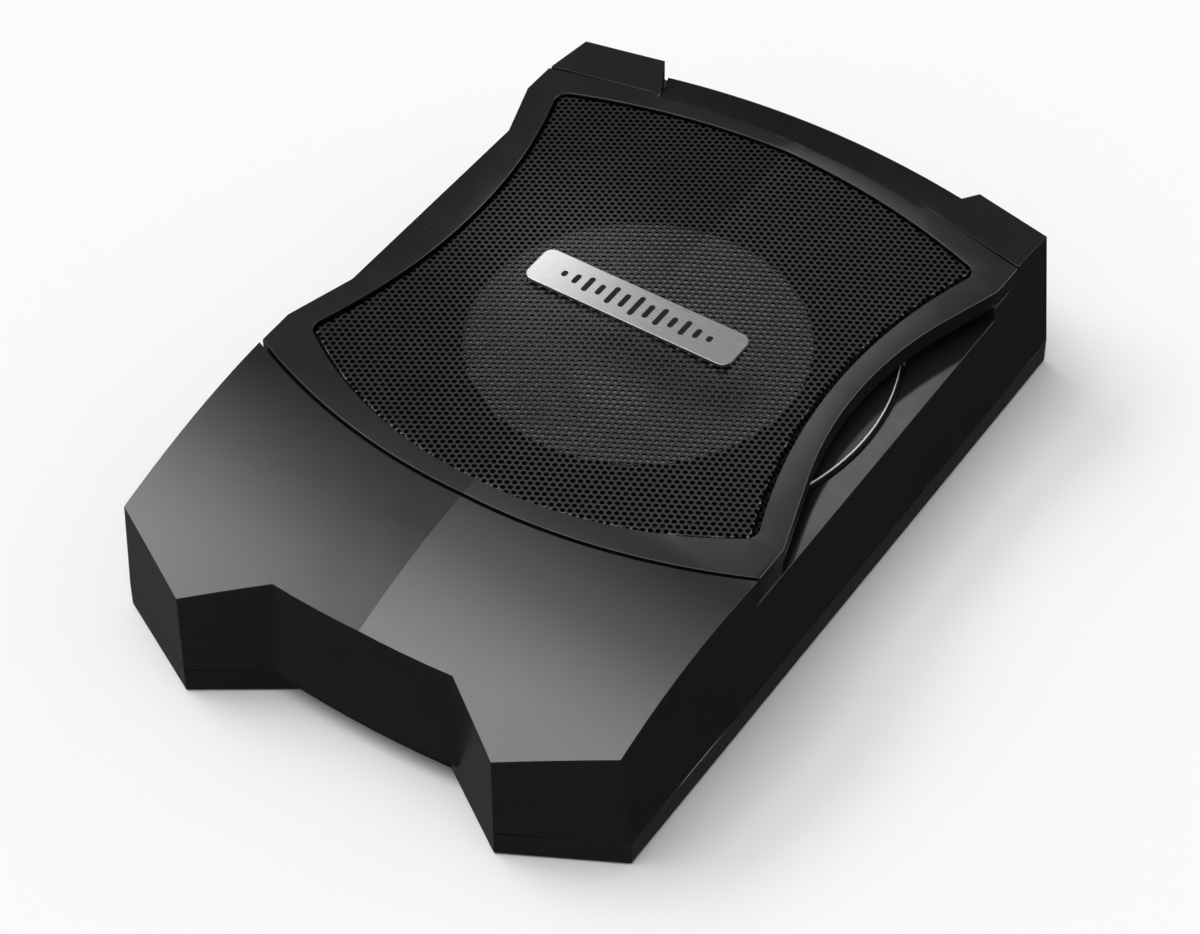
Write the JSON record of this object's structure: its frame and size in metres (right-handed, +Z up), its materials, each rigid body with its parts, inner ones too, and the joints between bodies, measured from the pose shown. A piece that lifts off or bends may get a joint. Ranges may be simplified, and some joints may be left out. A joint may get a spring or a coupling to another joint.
{
  "type": "powered car subwoofer",
  "caption": "Low-profile powered car subwoofer: wedge-nosed cast housing, waisted perforated grille over a shallow driver, amplifier inside and a rear connection bay.",
  "frame": {"origin": "centre of the footprint's bounding box, on the plane of the rubber feet", "axes": "+Z up, -Y the notched front, +X to the right seen from the front-to-rear view; the driver fires along +Z"},
  "size_m": [0.231, 0.3485, 0.0778],
  "materials": {
    "housing_cast": "fine satin black powder coat over cast aluminium",
    "frame_paint": "satin dark grey paint, thin bright edges",
    "mesh_paint": "grey powder coat on perforated steel",
    "badge_metal": "brushed, satin",
    "rubber": "matte",
    "steel_screw": "black zinc",
    "brass_parts": "turned",
    "basket_metal": "satin black",
    "ring_metal": "dark grey with a bright turned edge",
    "cone_grey": "satin anodised",
    "spider_cloth": "resin-treated weave",
    "former_film": "polyimide film",
    "copper": "enamelled copper",
    "motor_steel": "zinc plated",
    "ferrite": "sintered, matte",
    "black_plastic": "moulded",
    "knob_plastic": "fluted",
    "slider_plastic": "moulded",
    "wire_jacket": "PVC",
    "board_laminate": "solder mask",
    "heatsink": "extruded",
    "capacitor_sleeve": "shrink sleeve",
    "panel_paint": "fine textured",
    "nickel": "nickel plated",
    "fuse_orange": "translucent moulding",
    "led_lens": "clear lens"
  },
  "bodies": {
    "root": {"top_cover": "housing_cast", "bottom_shell": "housing_cast", "housing_gasket": "rubber", "housing_screws": "steel_screw", "foot_pads": "rubber", "bracket_inserts": "brass_parts", "grille_frame": "frame_paint", "frame_screws": "steel_screw", "grille_mesh": "mesh_paint", "badge_plate": "badge_metal", "badge_clips": "steel_screw", "driver_basket": "basket_metal", "basket_gasket": "rubber", "trim_ring": "ring_metal", "driver_screws": "steel_screw", "surround": "rubber", "spider": "spider_cloth", "magnet_top_plate": "motor_steel", "magnet": "ferrite", "back_plate": "motor_steel", "driver_terminals": "black_plastic", "tinsel_leads": "copper", "speaker_wires": "wire_jacket", "amp_board": "board_laminate", "board_standoffs": "brass_parts", "board_screws": "steel_screw", "heat_spreader": "heatsink", "power_transistors": "black_plastic", "toroid_transformer": "copper", "filter_capacitors": "capacitor_sleeve", "output_inductors": "copper", "control_chips": "black_plastic", "control_board": "board_laminate", "signal_ribbon": "wire_jacket", "power_harness": "wire_jacket", "rear_panel": "panel_paint", "panel_screws": "steel_screw", "gain_pot": "black_plastic", "crossover_pot": "black_plastic", "phase_switch": "black_plastic", "level_switch": "black_plastic", "rca_jacks": "nickel", "power_socket": "black_plastic", "power_pins": "nickel", "remote_jack": "black_plastic", "fuse_holder": "black_plastic", "fuses": "fuse_orange", "led_lens": "led_lens"},
    "cone_assembly": {"cone": "cone_grey", "dust_cap": "cone_grey", "voice_coil_former": "former_film", "voice_coil_winding": "copper"},
    "gain_dial": {"gain_knob": "knob_plastic"},
    "crossover_dial": {"crossover_knob": "knob_plastic"},
    "phase_lever": {"phase_slider": "slider_plastic"},
    "level_lever": {"level_slider": "slider_plastic"}
  },
  "joints": [
    {"name": "cone_travel", "type": "slide", "parent": "root", "child": "cone_assembly", "axis": [0, 0, 1], "range_m": [-0.006, 0.006], "stiffness_N_per_m": 3000, "deforming": ["surround", "spider", "tinsel_leads"]},
    {"name": "gain_turn", "type": "hinge", "parent": "root", "child": "gain_dial", "pos_m": [0.057, 0.165, 0.0425], "axis": [0, 1, 0], "range_deg": [-140, 140]},
    {"name": "crossover_turn", "type": "hinge", "parent": "root", "child": "crossover_dial", "pos_m": [0.041, 0.165, 0.0425], "axis": [0, 1, 0], "range_deg": [-140, 140]},
    {"name": "phase_slide", "type": "slide", "parent": "root", "child": "phase_lever", "axis": [1, 0, 0], "range_m": [0, 0.0038]},
    {"name": "level_slide", "type": "slide", "parent": "root", "child": "level_lever", "axis": [1, 0, 0], "range_m": [0, 0.0038]}
  ]
}
